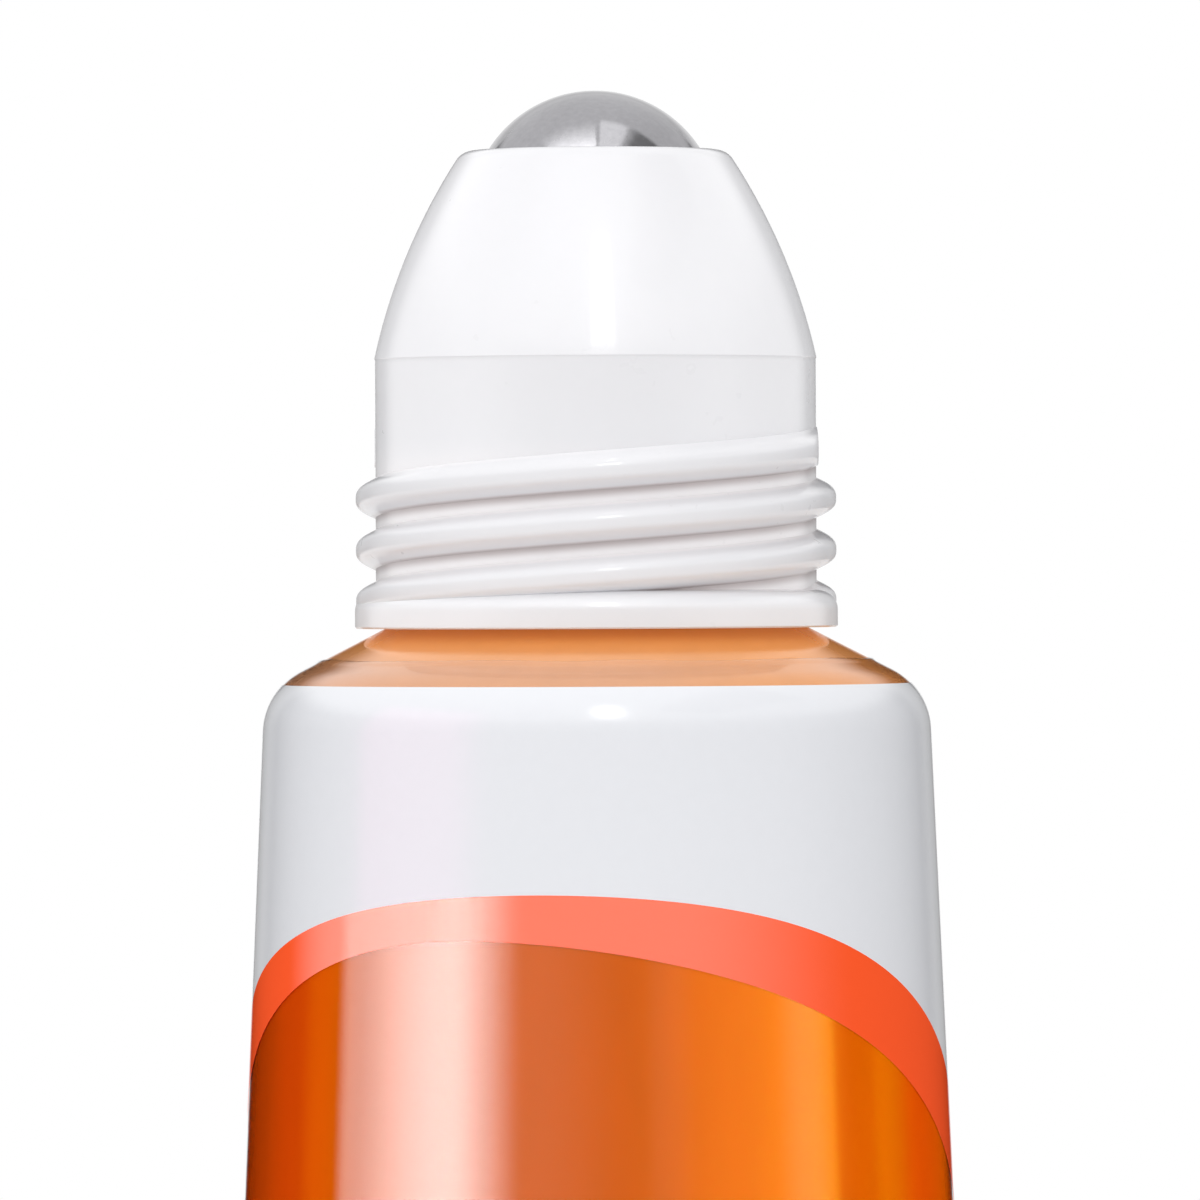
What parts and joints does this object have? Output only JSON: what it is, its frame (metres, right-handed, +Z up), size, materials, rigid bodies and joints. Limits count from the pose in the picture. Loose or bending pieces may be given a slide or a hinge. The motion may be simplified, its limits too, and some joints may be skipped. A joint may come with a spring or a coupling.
{
  "type": "roll-on bottle",
  "caption": "Tapered round bottle with a printed sleeve, a white closure head and a steel ball that rolls in its mouth.",
  "frame": {"origin": "middle of the base, on the plane that the bottle stands on", "axes": "+Z up the bottle's axis towards the ball, -Y the front where the print's edge is highest, +X to the right seen from the front"},
  "size_m": [0.026, 0.026, 0.079],
  "materials": {
    "orange_bottle": "glossy translucent moulded plastic",
    "white_head": "glossy moulded polypropylene",
    "natural_insert": "natural waxy polyethylene",
    "polished_ball": "satin-polished stainless steel",
    "clear_film": "clear glossy shrink film",
    "white_ink": "glossy white print",
    "coral_ink": "glossy coral print"
  },
  "bodies": {
    "container": {"bottle": "orange_bottle", "roller_head": "white_head", "ball_seat_insert": "natural_insert", "sleeve_film": "clear_film", "white_print": "white_ink", "coral_print": "coral_ink"},
    "ball": {"roller_ball": "polished_ball"}
  },
  "joints": [
    {"name": "ball_roll", "type": "hinge", "parent": "container", "child": "ball", "pos_m": [0, 0, 0.075], "axis": [1, 0, 0], "continuous": true}
  ]
}
